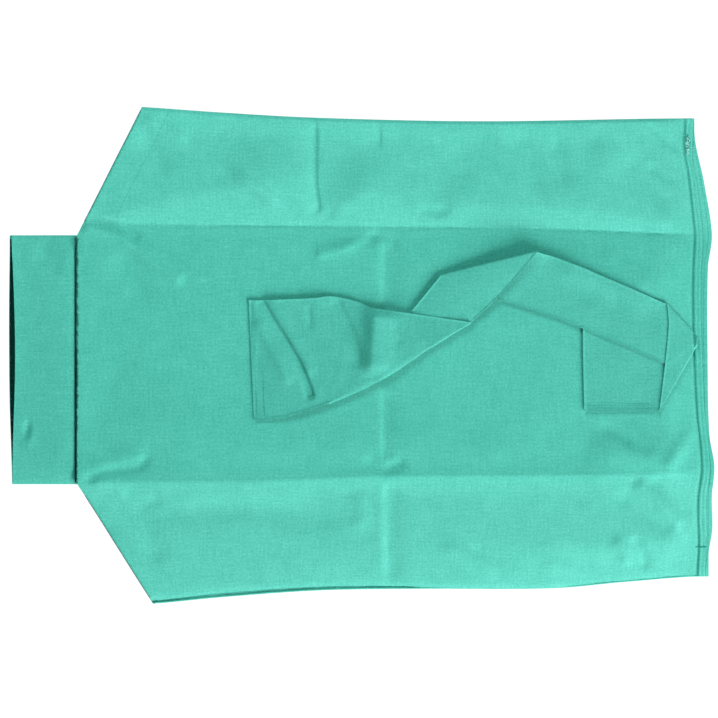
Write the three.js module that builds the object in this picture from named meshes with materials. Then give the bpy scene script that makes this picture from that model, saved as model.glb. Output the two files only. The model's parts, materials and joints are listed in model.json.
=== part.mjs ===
import * as THREE from 'three';

// A sleeveless patient gown, laid flat and face up, with its loose waist belt folded on top of it.
// Millimetres, +Z up. The neck is towards -X, the hem towards +X, and the wearer's left is +Y.
// The origin is under the middle of the gown, on the surface that it lies on.

// Driving dimensions of the gown.
const GOWN_LENGTH = 987; // open edge of the neckband to the longest point of the hem
const GOWN_WIDTH = 695.2; // across the under-arm ends of the armholes
const CLOTH = 1; // one layer of cloth, lying loosely
const INNER_HEIGHT = 8; // air between the front and the back, between the pressed folds
const SIDE_HEIGHT = 0.6; // what is left of it at the side seams
const FOLD_SPACING = 354; // between the two pressed folds that run from the neck to the hem
const FOLD_SHIFT = -5; // the middle of the folds and of the neckband, off the middle of the gown
const NECKBAND_WIDTH = 346;
const NECKBAND_DEPTH = 92.5;
const NECKBAND_STEP = 4; // the back of the neckband stands out this far past its front
const NECK_SEAM = 3.4; // width of the seam between the neckband and the body
const ARMHOLE_HEM = 38; // depth of the stitched turning round each armhole
const SIDE_SEAM = 4; // width of the seam down each side
const HEM_DEPTH = 14; // depth of the stitched turning along the bottom
const HEM_STEP = 14; // the back hem stands out this far past the front hem
const HEM_SKEW = 3.5; // the hem is this much shorter at the left fold than at the right one
const TURNED_CLOTH = 1.6; // a turned hem, which is more than one layer
const BARTACK_LENGTH = 16;
const BARTACK_WIDTH = 5;
const BARTACK_HEIGHT = 1.2;
const BARTACK_FROM_SIDE = 38; // the bartack's middle from the side seam
const PIECE_GAP = 0.3; // between pieces that meet

// How each side of the gown lies: the armhole's length along the gown, how far the side seam
// has drawn in at the waist and at the hem, and how far its hem corner stands back from the hem.
const SIDES = {
  left: { sign: 1, armholeDepth: 90, waistDraw: 19.5, hemDraw: 16, cornerBack: 25 },
  right: { sign: -1, armholeDepth: 105, waistDraw: 21, hemDraw: 38, cornerBack: 8.5 },
};

// Driving dimensions of the belt, and where it lies.
const BELT_CLOTH = 1;
const BELT_HEM = 17; // depth of the stitched turning across each end
const BELT_FOLD_BULGE = 1.2; // how far a fold of the belt stands out past its line
const BELT_FROM_HEM = 250; // the belt's highest corner, back from the end of the gown
const BELT_FROM_LEFT_FOLD = 29; // the same corner, in from the left pressed fold

// Derived places.
const halfLength = GOWN_LENGTH / 2;
const halfWidth = GOWN_WIDTH / 2;
const neckbandEnd = -halfLength + NECKBAND_DEPTH;
const bodyStart = neckbandEnd + PIECE_GAP + NECK_SEAM + PIECE_GAP;
const frontUnder = CLOTH + INNER_HEIGHT;
const hemTop = frontUnder + TURNED_CLOTH;
const sideUnder = CLOTH + SIDE_HEIGHT;
const leftFold = FOLD_SHIFT + FOLD_SPACING / 2;
const rightFold = FOLD_SHIFT - FOLD_SPACING / 2;
const leftFoldHem = new THREE.Vector2(halfLength - HEM_SKEW, leftFold);
const rightFoldHem = new THREE.Vector2(halfLength, rightFold);

function clothMaterial(colour, roughness) {
  return new THREE.MeshStandardMaterial({ color: colour, roughness, metalness: 0 });
}

// A closed solid over an outline, between two heights that are functions of the place.
function plateGeometry(outline, underAt, topAt) {
  const turned = THREE.ShapeUtils.area(outline) > 0 ? outline : [...outline].reverse();
  const count = turned.length;
  const positions = [];
  for (const p of turned) positions.push(p.x, p.y, underAt(p));
  for (const p of turned) positions.push(p.x, p.y, topAt(p));
  const index = [];
  for (const [a, b, c] of THREE.ShapeUtils.triangulateShape(turned, [])) {
    index.push(a, c, b);
    index.push(a + count, b + count, c + count);
  }
  for (let i = 0; i < count; i += 1) {
    const next = (i + 1) % count;
    index.push(i, next, next + count);
    index.push(i, next + count, i + count);
  }
  const geometry = new THREE.BufferGeometry();
  geometry.setAttribute('position', new THREE.Float32BufferAttribute(positions, 3));
  geometry.setIndex(index);
  geometry.computeVertexNormals();
  return geometry;
}

// A region of cloth with straight edges. A corner is where two of its edges meet, each edge first
// moved into the region by its own distance, so neighbouring pieces share one set of lines.
class Region {
  constructor(edges) {
    this.edges = edges;
    const starts = Object.values(edges).map(([start]) => start);
    this.turn = Math.sign(THREE.ShapeUtils.area(starts));
  }

  line(name, inset) {
    const [start, end] = this.edges[name];
    const along = end.clone().sub(start).normalize();
    const inward = new THREE.Vector2(-along.y, along.x).multiplyScalar(this.turn * inset);
    return { point: start.clone().add(inward), along };
  }

  corner([firstEdge, firstInset], [secondEdge, secondInset]) {
    const first = this.line(firstEdge, firstInset);
    const second = this.line(secondEdge, secondInset);
    const between = second.point.clone().sub(first.point);
    const distance = between.cross(second.along) / first.along.cross(second.along);
    return first.point.clone().addScaledVector(first.along, distance);
  }

  // The outline whose sides are the given edges, in order round the region.
  outline(sides) {
    return sides.map((side, i) => this.corner(side, sides[(i + 1) % sides.length]));
  }
}

const gown = new THREE.Group();

function addPlate(name, outline, underAt, thickness, material) {
  const topAt = (p) => underAt(p) + thickness;
  const mesh = new THREE.Mesh(plateGeometry(outline, underAt, topAt), material);
  mesh.name = name;
  gown.add(mesh);
}

const onFloor = () => 0;
const overMiddle = () => frontUnder;

// The middle of the gown, between the two pressed folds: back, front, their hems and neck seams.
function addCentre() {
  const neckLeft = new THREE.Vector2(bodyStart, leftFold);
  const neckRight = new THREE.Vector2(bodyStart, rightFold);
  const centre = new Region({
    neck: [neckLeft, neckRight],
    right: [neckRight, rightFoldHem],
    hem: [rightFoldHem, leftFoldHem],
    left: [leftFoldHem, neckLeft],
  });
  const layers = [
    { layer: 'back', underAt: onFloor, hemEdge: 0 },
    { layer: 'front', underAt: overMiddle, hemEdge: HEM_STEP },
  ];
  for (const { layer, underAt, hemEdge } of layers) {
    const panelHem = hemEdge + HEM_DEPTH;
    const panel = centre.outline([['neck', 0], ['right', 0], ['hem', panelHem], ['left', 0]]);
    addPlate(`${layer}_panel_center`, panel, underAt, CLOTH, clothMaterial('#4fc0ae', 0.85));
    const inner = centre.line('hem', panelHem - PIECE_GAP);
    const outer = centre.line('hem', hemEdge);
    const hem = hemBand(inner, outer, rightFold, leftFold);
    addPlate(`${layer}_hem_center`, hem, underAt, TURNED_CLOTH, clothMaterial('#45b3a1', 0.85));
    const seam = rectangle(neckbandEnd + PIECE_GAP, bodyStart - PIECE_GAP, rightFold, leftFold);
    addPlate(`neck_seam_${layer}`, seam, underAt, CLOTH, clothMaterial('#1d6a5e', 0.9));
  }
}

function rectangle(x0, x1, y0, y1) {
  const corners = [[x0, y0], [x1, y0], [x1, y1], [x0, y1]];
  return corners.map(([x, y]) => new THREE.Vector2(x, y));
}

// The strip between two parallel lines, cut square to the folds at both ends.
function hemBand(inner, outer, y0, y1) {
  const at = (line, y) => {
    const distance = (y - line.point.y) / line.along.y;
    return line.point.clone().addScaledVector(line.along, distance);
  };
  return [at(inner, y0), at(outer, y0), at(outer, y1), at(inner, y1)];
}

function yOnLine([start, end], x) {
  return THREE.MathUtils.mapLinear(x, start.x, end.x, start.y, end.y);
}

// One wing: the part of the gown outside a pressed fold, with its armhole, side seam and hems.
function addWing(side) {
  const { sign, armholeDepth, waistDraw, hemDraw, cornerBack } = SIDES[side];
  const fold = sign > 0 ? leftFold : rightFold;
  const foldHem = sign > 0 ? leftFoldHem : rightFoldHem;
  const neck = new THREE.Vector2(bodyStart, fold);
  const underArm = new THREE.Vector2(bodyStart + armholeDepth, sign * halfWidth);
  const hemCorner = new THREE.Vector2(foldHem.x - cornerBack, sign * (halfWidth - hemDraw));
  const waistX = (underArm.x + hemCorner.x) / 2;
  const waist = new THREE.Vector2(waistX, sign * (halfWidth - waistDraw));
  const wing = new Region({
    fold: [neck, foldHem],
    hem: [foldHem, hemCorner],
    skirt: [hemCorner, waist],
    chest: [waist, underArm],
    armhole: [underArm, neck],
  });
  // The front comes down evenly from the fold to the side seam, wherever the seam is.
  const overBack = (p) => {
    const seam = p.x < waist.x ? wing.edges.chest : wing.edges.skirt;
    const seamY = yOnLine(seam, p.x);
    return THREE.MathUtils.mapLinear(p.y, fold, seamY, frontUnder, sideUnder);
  };
  const sideCut = SIDE_SEAM + PIECE_GAP;
  const layers = [
    { layer: 'back', underAt: onFloor, hemEdge: 0 },
    { layer: 'front', underAt: overBack, hemEdge: HEM_STEP },
  ];
  for (const { layer, underAt, hemEdge } of layers) {
    const panel = wing.outline([
      ['fold', PIECE_GAP],
      ['hem', hemEdge + HEM_DEPTH],
      ['skirt', sideCut],
      ['chest', sideCut],
      ['armhole', ARMHOLE_HEM],
    ]);
    addPlate(`${layer}_panel_${side}`, panel, underAt, CLOTH, clothMaterial('#4fc0ae', 0.85));
    const turning = wing.outline([
      ['armhole', 0],
      ['fold', PIECE_GAP],
      ['armhole', ARMHOLE_HEM - PIECE_GAP],
      ['chest', sideCut],
    ]);
    const armholeName = `armhole_hem_${layer}_${side}`;
    addPlate(armholeName, turning, underAt, CLOTH + PIECE_GAP, clothMaterial('#46b6a4', 0.85));
    const hem = wing.outline([
      ['fold', PIECE_GAP],
      ['hem', hemEdge],
      ['skirt', layer === 'back' ? 0 : sideCut],
      ['hem', hemEdge + HEM_DEPTH - PIECE_GAP],
    ]);
    addPlate(`${layer}_hem_${side}`, hem, underAt, TURNED_CLOTH, clothMaterial('#45b3a1', 0.85));
  }
  addSideSeam(side, wing, overBack);
  addBartack(side, wing, overBack);
}

// The seam down one side stands on the floor and closes the gown up to the top of the front.
function addSideSeam(side, wing, overBack) {
  const innerEdge = SIDE_SEAM;
  const hemEnd = Math.max(HEM_STEP, HEM_DEPTH) + PIECE_GAP;
  const outline = [
    wing.corner(['armhole', 0], ['chest', 0]),
    wing.corner(['chest', 0], ['skirt', 0]),
    wing.corner(['skirt', 0], ['hem', hemEnd]),
    wing.corner(['hem', hemEnd], ['skirt', innerEdge]),
    wing.corner(['skirt', innerEdge], ['chest', innerEdge]),
    wing.corner(['chest', innerEdge], ['armhole', 0]),
  ];
  const topAt = (p) => overBack(p) + CLOTH;
  const seam = new THREE.Mesh(plateGeometry(outline, onFloor, topAt), clothMaterial('#3fae9c', 0.85));
  seam.name = `side_seam_${side}`;
  gown.add(seam);
}

// The dense stitching that closes the end of the hem lies on the front hem, near the side seam.
function addBartack(side, wing, overBack) {
  const acrossMiddle = HEM_STEP + HEM_DEPTH / 2;
  const outline = wing.outline([
    ['hem', acrossMiddle - BARTACK_LENGTH / 2],
    ['skirt', BARTACK_FROM_SIDE - BARTACK_WIDTH / 2],
    ['hem', acrossMiddle + BARTACK_LENGTH / 2],
    ['skirt', BARTACK_FROM_SIDE + BARTACK_WIDTH / 2],
  ]);
  const underAt = (p) => overBack(p) + TURNED_CLOTH + PIECE_GAP;
  addPlate(`bartack_${side}`, outline, underAt, BARTACK_HEIGHT, clothMaterial('#2f9585', 0.9));
}

// The neckband is a flattened tube: a front, a back and the two ends where it turns over.
function addNeckband() {
  const left = FOLD_SHIFT + NECKBAND_WIDTH / 2;
  const right = FOLD_SHIFT - NECKBAND_WIDTH / 2;
  const frontEdge = -halfLength + NECKBAND_STEP;
  const back = rectangle(-halfLength, neckbandEnd, right, left);
  addPlate('neckband_back', back, onFloor, CLOTH, clothMaterial('#4bbba9', 0.85));
  const front = rectangle(frontEdge, neckbandEnd, right, left);
  addPlate('neckband_front', front, overMiddle, CLOTH, clothMaterial('#53c4b2', 0.85));
  const endUnder = () => CLOTH + PIECE_GAP;
  const endHeight = INNER_HEIGHT - 2 * PIECE_GAP;
  const ends = { left: [left - CLOTH, left], right: [right, right + CLOTH] };
  for (const [side, [y0, y1]] of Object.entries(ends)) {
    const end = rectangle(frontEdge, neckbandEnd, y0, y1);
    addPlate(`neckband_end_${side}`, end, endUnder, endHeight, clothMaterial('#4bbba9', 0.85));
  }
}

// The belt's own places are measured from its highest corner, in millimetres, with heights above
// the front hem, which is the highest part of the gown under it. Each panel is a list of lines from one edge of the belt to the other
// (a, then b), and the next panel starts on the same line, under it or over it.
const BELT_PANELS = [
  [
    { a: [-383.8, -66.7, 0.9], b: [-376.2, -235.1, 0.9] },
    { a: [-276.2, -61.4, 3.6], b: [-316.2, -225.2, 3.2] },
    { a: [-228.7, -77.5, 7], b: [-301.2, -219.2, 4.8] },
    { a: [-91.5, -96.5, 9.4], b: [-286.2, -212.2, 4.8] },
  ],
  [
    { a: [-91.5, -96.5, 5], b: [-286.2, -212.2, 1.4] },
    { a: [0, 0, 15], b: [-134.9, -33.4, 3.8] },
  ],
  [
    { a: [0, 0, 11], b: [-134.9, -33.4, 0.9] },
    { a: [57.3, -19, 4.6], b: [31.7, -92.4, 3.6] },
    { a: [175, -69.2, 3.4], b: [178.8, -154.2, 3.4] },
    { a: [181.5, -71.2, 3.4], b: [224.8, -119.2, 3.4] },
  ],
  [
    { a: [181.5, -71.2, 6], b: [224.8, -119.2, 6] },
    { a: [176.5, -205, 4], b: [223.8, -125.2, 6] },
  ],
  [
    { a: [176.5, -205, 0.9], b: [223.8, -125.2, 0.9] },
    { a: [171, -203.8, 0.9], b: [63.8, -86.2, 0.9] },
    { a: [170.5, -204, 0.9], b: [66.2, -204.7, 0.9] },
    { a: [170.3, -221.2, 0.9], b: [66.5, -221.9, 0.9] },
  ],
];

const up = new THREE.Vector3(0, 0, 1);

// The cross-sections of the belt along its route. Each has its two edge points and the direction
// that the cloth's face looks in: up on the first panel, then over and over at each fold.
function beltSections(panels) {
  const sections = [];
  let face = up.clone();
  panels.forEach((panel, i) => {
    if (i > 0) {
      const last = sections[sections.length - 1];
      const before = sections[sections.length - 2];
      const first = toSection(panel[0], face);
      const line = last.b.clone().sub(last.a).setZ(0);
      const outward = new THREE.Vector3(line.y, -line.x, 0).normalize();
      const travel = middleOf(last).sub(middleOf(before));
      if (outward.dot(travel) < 0) outward.negate();
      const under = first.a.z < last.a.z;
      const bulgeFace = outward.clone().multiplyScalar(under === face.z > 0 ? 1 : -1);
      const bulge = outward.clone().multiplyScalar(BELT_FOLD_BULGE);
      sections.push({
        a: last.a.clone().lerp(first.a, 0.5).add(bulge),
        b: last.b.clone().lerp(first.b, 0.5).add(bulge),
        face: bulgeFace,
      });
      face = face.clone().negate();
    }
    for (const line of panel) sections.push(toSection(line, face));
  });
  return sections;
}

function toSection({ a, b }, face) {
  return { a: new THREE.Vector3(...a), b: new THREE.Vector3(...b), face };
}

function middleOf({ a, b }) {
  return a.clone().lerp(b, 0.5);
}

// A closed strip of cloth through cross-sections, each given by its two edge points and its face.
function stripGeometry(sections, thickness) {
  const positions = [];
  for (const { a, b, face } of sections) {
    const half = face.clone().multiplyScalar(thickness / 2);
    for (const p of [a.clone().add(half), b.clone().add(half), b.clone().sub(half), a.clone().sub(half)]) {
      positions.push(p.x, p.y, p.z);
    }
  }
  const index = [];
  for (let i = 0; i + 1 < sections.length; i += 1) {
    for (let side = 0; side < 4; side += 1) {
      const here = 4 * i + side;
      const beside = 4 * i + ((side + 1) % 4);
      const corners = [here, beside, beside + 4, here + 4];
      // Both faces are split along the same diagonal, so that the cloth keeps its thickness.
      if (side === 2) corners.push(corners.shift());
      const [p, q, r, t] = corners;
      index.push(p, q, r, p, r, t);
    }
  }
  const last = 4 * (sections.length - 1);
  index.push(0, 2, 1, 0, 3, 2, last, last + 1, last + 2, last, last + 2, last + 3);
  const geometry = new THREE.BufferGeometry();
  geometry.setAttribute('position', new THREE.Float32BufferAttribute(positions, 3));
  geometry.setIndex(index);
  geometry.computeVertexNormals();
  return geometry;
}

// A point on the line from one edge point to another, a given distance along it.
function along(from, to, distance) {
  return from.clone().addScaledVector(to.clone().sub(from).normalize(), distance);
}

function addBelt() {
  const sections = beltSections(BELT_PANELS);
  const belt = new THREE.Group();
  belt.position.set(halfLength - BELT_FROM_HEM, leftFold - BELT_FROM_LEFT_FOLD, hemTop);
  const ends = [
    { name: 'belt_hem_left', end: sections[0], next: sections[1] },
    { name: 'belt_hem_right', end: sections.at(-1), next: sections.at(-2) },
  ];
  const cut = (end, next, distance) => ({
    a: along(end.a, next.a, distance),
    b: along(end.b, next.b, distance),
    face: end.face,
  });
  for (const { name, end, next } of ends) {
    const hem = [end, cut(end, next, BELT_HEM - PIECE_GAP)];
    if (name === 'belt_hem_right') hem.reverse();
    const mesh = new THREE.Mesh(stripGeometry(hem, TURNED_CLOTH), clothMaterial('#45b3a1', 0.85));
    mesh.name = name;
    belt.add(mesh);
  }
  const trimmed = [...sections];
  trimmed[0] = cut(sections[0], sections[1], BELT_HEM);
  trimmed[trimmed.length - 1] = cut(sections.at(-1), sections.at(-2), BELT_HEM);
  const waist = new THREE.Mesh(stripGeometry(trimmed, BELT_CLOTH), clothMaterial('#4fc0ae', 0.85));
  waist.name = 'waist_belt';
  belt.add(waist);
  gown.add(belt);
}

addCentre();
addWing('left');
addWing('right');
addNeckband();
addBelt();

export default gown;
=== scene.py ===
import json
import math

import bmesh
import bpy
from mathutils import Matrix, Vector, noise


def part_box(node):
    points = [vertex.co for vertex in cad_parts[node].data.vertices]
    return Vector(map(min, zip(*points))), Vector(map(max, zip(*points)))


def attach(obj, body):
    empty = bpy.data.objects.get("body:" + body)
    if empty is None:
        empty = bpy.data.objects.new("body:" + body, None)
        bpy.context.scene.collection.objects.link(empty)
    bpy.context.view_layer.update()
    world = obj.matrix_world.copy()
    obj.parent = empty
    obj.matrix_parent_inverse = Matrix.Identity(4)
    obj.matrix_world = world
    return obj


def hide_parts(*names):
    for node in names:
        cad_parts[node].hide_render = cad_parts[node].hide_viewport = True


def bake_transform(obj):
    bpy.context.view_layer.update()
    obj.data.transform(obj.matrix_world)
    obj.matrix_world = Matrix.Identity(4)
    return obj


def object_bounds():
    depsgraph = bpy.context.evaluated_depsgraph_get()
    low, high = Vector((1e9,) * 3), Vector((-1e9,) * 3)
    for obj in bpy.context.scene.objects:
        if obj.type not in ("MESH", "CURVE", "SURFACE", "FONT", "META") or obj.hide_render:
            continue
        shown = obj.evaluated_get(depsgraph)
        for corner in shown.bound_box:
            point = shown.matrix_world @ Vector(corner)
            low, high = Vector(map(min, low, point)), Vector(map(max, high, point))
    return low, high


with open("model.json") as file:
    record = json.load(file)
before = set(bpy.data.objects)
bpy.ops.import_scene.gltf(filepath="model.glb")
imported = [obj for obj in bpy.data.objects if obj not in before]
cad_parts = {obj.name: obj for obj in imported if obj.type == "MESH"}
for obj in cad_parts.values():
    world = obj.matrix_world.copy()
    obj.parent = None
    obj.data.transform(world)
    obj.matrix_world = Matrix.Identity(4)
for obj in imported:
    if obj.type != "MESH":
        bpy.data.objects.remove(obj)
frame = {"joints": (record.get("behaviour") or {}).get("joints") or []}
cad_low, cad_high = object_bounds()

# A sleeveless patient gown, laid flat and face up, with its loose waist belt folded on top.
# Metres, +Z up, neck towards -X, hem towards +X, the wearer's left towards +Y.

MM = 0.001

# Places taken from the frame.
JOINTS = {joint["name"]: joint for joint in frame["joints"]}
LEFT_FOLD = JOINTS["left_fold"]["pos_m"][1]
RIGHT_FOLD = JOINTS["right_fold"]["pos_m"][1]
NECK_HINGE = Vector(JOINTS["neckband_fold"]["pos_m"])
MIDDLE_Y = (LEFT_FOLD + RIGHT_FOLD) / 2
NECK_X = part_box("front_panel_center")[0].x
FRONT_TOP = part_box("front_panel_center")[1].z
BELT_CORNER = Vector((cad_high.x - 250 * MM, LEFT_FOLD - 29 * MM, FRONT_TOP))
NECKBAND_LOW, NECKBAND_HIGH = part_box("neckband_back")

# Sizes of the cloth and its sewing.
CLOTH = 0.5 * MM
BACK_TOP = 0.8 * MM
SIDE_TOP = 2.0 * MM
FINE_STEP = 1.4 * MM
FRONT_STEP = 3.3 * MM
BACK_STEP = 7 * MM
STITCH = 3.2 * MM
THREAD = 0.24 * MM
RELIEF = 5.0
GRAIN = 0.11
# Painted light and shade: the gown's middle third is painted darker and its side flaps lighter, as the light
# falls on them.
MIDDLE_PAINTED_SHADE, SIDE_PAINTED_LIGHT = 0.97, 1.09


# ---------------------------------------------------------------- small tools

def through(knots, t):
    """The value at t of a smooth curve through (t, value) knots, level beyond its ends."""
    if t <= knots[0][0]:
        return knots[0][1]
    if t >= knots[-1][0]:
        return knots[-1][1]
    last = len(knots) - 1
    i = next(k for k in range(last) if t <= knots[k + 1][0])
    (t0, v0), (t1, v1) = knots[i], knots[i + 1]

    def slope(k):
        if k in (0, last):
            return 0.0 if last > 1 else (v1 - v0) / (t1 - t0)
        (ta, va), (tb, vb) = knots[k - 1], knots[k + 1]
        return (vb - va) / (tb - ta)

    span = t1 - t0
    s = (t - t0) / span
    m0, m1 = slope(i) * span, slope(i + 1) * span
    return (
        v0 * (2 * s**3 - 3 * s**2 + 1)
        + m0 * (s**3 - 2 * s**2 + s)
        + v1 * (3 * s**2 - 2 * s**3)
        + m1 * (s**3 - s**2)
    )


def smooth(low, high, t):
    s = min(1.0, max(0.0, (t - low) / (high - low)))
    return s * s * (3 - 2 * s)


def mix(a, b, t):
    return a + (b - a) * t


def in_mm(knots):
    return [(t * MM, value * MM) for t, value in knots]


def stations(start, end, step, fine_near, fine_step=FINE_STEP):
    """Places from start to end a step apart, closer together near each (place, reach) of fine_near."""
    places = [start]
    while places[-1] < end - 0.5 * fine_step:
        here = places[-1]
        gap = fine_step if any(abs(here - place) <= reach for place, reach in fine_near) else step
        ahead = [place - reach for place, reach in fine_near if here < place - reach < here + gap]
        places.append(min([here + gap, end] + ahead))
    places[-1] = end
    return places


def mesh_object(name, vertices, faces, material, uvs=None):
    mesh = bpy.data.meshes.new(name)
    mesh.from_pydata([tuple(v) for v in vertices], [], faces)
    if uvs:
        layer = mesh.uv_layers.new(name="weave")
        for loop in mesh.loops:
            layer.data[loop.index].uv = uvs[loop.vertex_index]
    mesh.polygons.foreach_set("use_smooth", [True] * len(mesh.polygons))
    mesh.materials.append(material)
    piece = bpy.data.objects.new(name, mesh)
    bpy.context.scene.collection.objects.link(piece)
    return piece


def finish_modifiers(piece):
    bpy.ops.object.select_all(action="DESELECT")
    bpy.context.view_layer.objects.active = piece
    piece.select_set(True)
    for modifier in list(piece.modifiers):
        bpy.ops.object.modifier_apply(modifier=modifier.name)
    piece.select_set(False)


def thicken(piece, thickness, upward=-1.0):
    """Gives a sheet its thickness: below its surface, above it (1) or on both sides (0)."""
    solidify = piece.modifiers.new("thickness", "SOLIDIFY")
    solidify.thickness = thickness
    solidify.offset = upward
    finish_modifiers(piece)
    piece.select_set(True)
    bpy.ops.object.shade_smooth_by_angle(angle=math.radians(50))
    piece.select_set(False)


# ---------------------------------------------------------------- materials

def cloth_material(name, colour, painted_light_sides=False, weave_pitch=0.9 * MM):
    """Plain-woven cotton and polyester: crossed threads, thicker yarns here and there, and a soft sheen."""
    material = bpy.data.materials.new(name)
    material.use_nodes = True
    nodes, links = material.node_tree.nodes, material.node_tree.links
    shader = nodes["Principled BSDF"]
    shader.inputs["Roughness"].default_value = 0.85
    shader.inputs["Specular IOR Level"].default_value = 0.18
    shader.inputs["Sheen Weight"].default_value = 0.06
    shader.inputs["Sheen Roughness"].default_value = 0.5
    shader.inputs["Sheen Tint"].default_value = (0.6, 1.0, 0.93, 1)
    place = nodes.new("ShaderNodeTexCoord").outputs["UV"]

    def wave(direction):
        threads = nodes.new("ShaderNodeTexWave")
        threads.bands_direction = direction
        threads.inputs["Scale"].default_value = math.pi / (10 * weave_pitch)
        threads.inputs["Distortion"].default_value = 0.6
        threads.inputs["Detail"].default_value = 1.0
        threads.inputs["Detail Scale"].default_value = 0.6
        links.new(place, threads.inputs["Vector"])
        return threads.outputs["Fac"]

    def speckle(scale_x, scale_y, detail):
        """Noise with its own scale along and across the cloth, in spots a metre."""
        stretch = nodes.new("ShaderNodeMapping")
        stretch.inputs["Scale"].default_value = (scale_x, scale_y, 1)
        links.new(place, stretch.inputs["Vector"])
        noisy = nodes.new("ShaderNodeTexNoise")
        noisy.inputs["Scale"].default_value = 1.0
        noisy.inputs["Detail"].default_value = detail
        links.new(stretch.outputs["Vector"], noisy.inputs["Vector"])
        return noisy.outputs["Fac"]

    def combine(operation, first, second):
        node = nodes.new("ShaderNodeMath")
        node.operation = operation
        for socket, value in zip(node.inputs, (first, second)):
            if isinstance(value, float):
                socket.default_value = value
            else:
                links.new(value, socket)
        return node.outputs["Value"]

    def ranged(value, low, high, start=0.0, end=1.0):
        node = nodes.new("ShaderNodeMapRange")
        node.inputs["From Min"].default_value = start
        node.inputs["From Max"].default_value = end
        node.inputs["To Min"].default_value = low
        node.inputs["To Max"].default_value = high
        links.new(value, node.inputs["Value"])
        return node.outputs["Result"]

    weave = combine("MAXIMUM", wave("X"), wave("Y"))
    grain = speckle(360.0, 360.0, 2.0)
    warp = speckle(30.0, 420.0, 1.0)
    weft = speckle(420.0, 30.0, 1.0)
    shade = ranged(grain, 1 - GRAIN, 1 + GRAIN, 0.3, 0.7)
    shade = combine("MULTIPLY", shade, ranged(warp, 0.96, 1.04, 0.3, 0.7))
    shade = combine("MULTIPLY", shade, ranged(weft, 0.96, 1.04, 0.3, 0.7))
    shade = combine("MULTIPLY", shade, ranged(speckle(45.0, 45.0, 2.0), 0.975, 1.025, 0.3, 0.7))
    shade = combine("MULTIPLY", shade, ranged(weave, 0.95, 1.01))
    # Painted light and shade: the side flaps are painted lighter and the middle darker, across the pressed
    # folds.
    if painted_light_sides:
        split = nodes.new("ShaderNodeSeparateXYZ")
        links.new(place, split.inputs["Vector"])
        across = combine("ABSOLUTE", split.outputs["Y"], 0.0)
        shade = combine("MULTIPLY", shade, ranged(across, MIDDLE_PAINTED_SHADE, SIDE_PAINTED_LIGHT, 160 * MM, 186 * MM))
    tone = nodes.new("ShaderNodeMix")
    tone.data_type = "RGBA"
    tone.blend_type = "MULTIPLY"
    tone.inputs["Factor"].default_value = 1.0
    colour_sockets = [socket for socket in tone.inputs if socket.type == "RGBA"]
    colour_sockets[0].default_value = (*colour, 1)
    depth = nodes.new("ShaderNodeCombineColor")
    for channel, power in (("Red", 2.2), ("Green", 1.0), ("Blue", 1.1)):
        links.new(combine("POWER", shade, power), depth.inputs[channel])
    links.new(depth.outputs["Color"], colour_sockets[1])
    mixed = next(socket for socket in tone.outputs if socket.type == "RGBA")
    links.new(mixed, shader.inputs["Base Color"])
    bump = nodes.new("ShaderNodeBump")
    bump.inputs["Strength"].default_value = 0.42
    bump.inputs["Distance"].default_value = 0.3 * MM
    height = combine("ADD", combine("MULTIPLY", weave, 0.5), grain)
    links.new(height, bump.inputs["Height"])
    links.new(bump.outputs["Normal"], shader.inputs["Normal"])
    return material


def thread_material(name, colour, light, dark_share=0.35, light_share=0.7, flecks=900):
    """Spun sewing thread: dark and light plies that twist along it."""
    material = bpy.data.materials.new(name)
    material.use_nodes = True
    nodes, links = material.node_tree.nodes, material.node_tree.links
    shader = nodes["Principled BSDF"]
    shader.inputs["Roughness"].default_value = 0.8
    shader.inputs["Specular IOR Level"].default_value = 0.12
    place = nodes.new("ShaderNodeTexCoord").outputs["Object"]
    twist = nodes.new("ShaderNodeTexNoise")
    twist.inputs["Scale"].default_value = flecks
    links.new(place, twist.inputs["Vector"])
    ramp = nodes.new("ShaderNodeValToRGB")
    ramp.color_ramp.elements[0].position = dark_share
    ramp.color_ramp.elements[0].color = (*colour, 1)
    ramp.color_ramp.elements[1].position = light_share
    ramp.color_ramp.elements[1].color = (*light, 1)
    links.new(twist.outputs["Fac"], ramp.inputs["Fac"])
    links.new(ramp.outputs["Color"], shader.inputs["Base Color"])
    bump = nodes.new("ShaderNodeBump")
    bump.inputs["Strength"].default_value = 0.4
    bump.inputs["Distance"].default_value = 0.1 * MM
    links.new(twist.outputs["Fac"], bump.inputs["Height"])
    links.new(bump.outputs["Normal"], shader.inputs["Normal"])
    return material


GOWN_CLOTH = cloth_material("gown_cloth", (0.090, 0.462, 0.374), painted_light_sides=True)
NECKBAND_CLOTH = cloth_material("neckband_cloth", (0.089, 0.460, 0.372))
BELT_CLOTH = cloth_material("belt_cloth", (0.079, 0.414, 0.337))
STITCH_THREAD = thread_material("stitch_thread", (0.035, 0.30, 0.24), (0.07, 0.46, 0.37))
KNOT_THREAD = thread_material("knot_thread", (0.01, 0.09, 0.075), (0.30, 0.72, 0.64), 0.38, 0.56, 420)
# Near-black seam and edge threads: partly real overlock thread, partly painted shade in the neck groove,
# along the armhole's edge and in the neckband's mouth.
SEAM_SHADE_THREAD = thread_material("seam_thread", (0.004, 0.028, 0.024), (0.02, 0.13, 0.11))
EDGE_SHADE_THREAD = thread_material("edge_shade_thread", (0.0006, 0.0016, 0.0016), (0.12, 0.22, 0.21), 0.6, 0.68, 420)


# ---------------------------------------------------------------- outline of the gown

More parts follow.
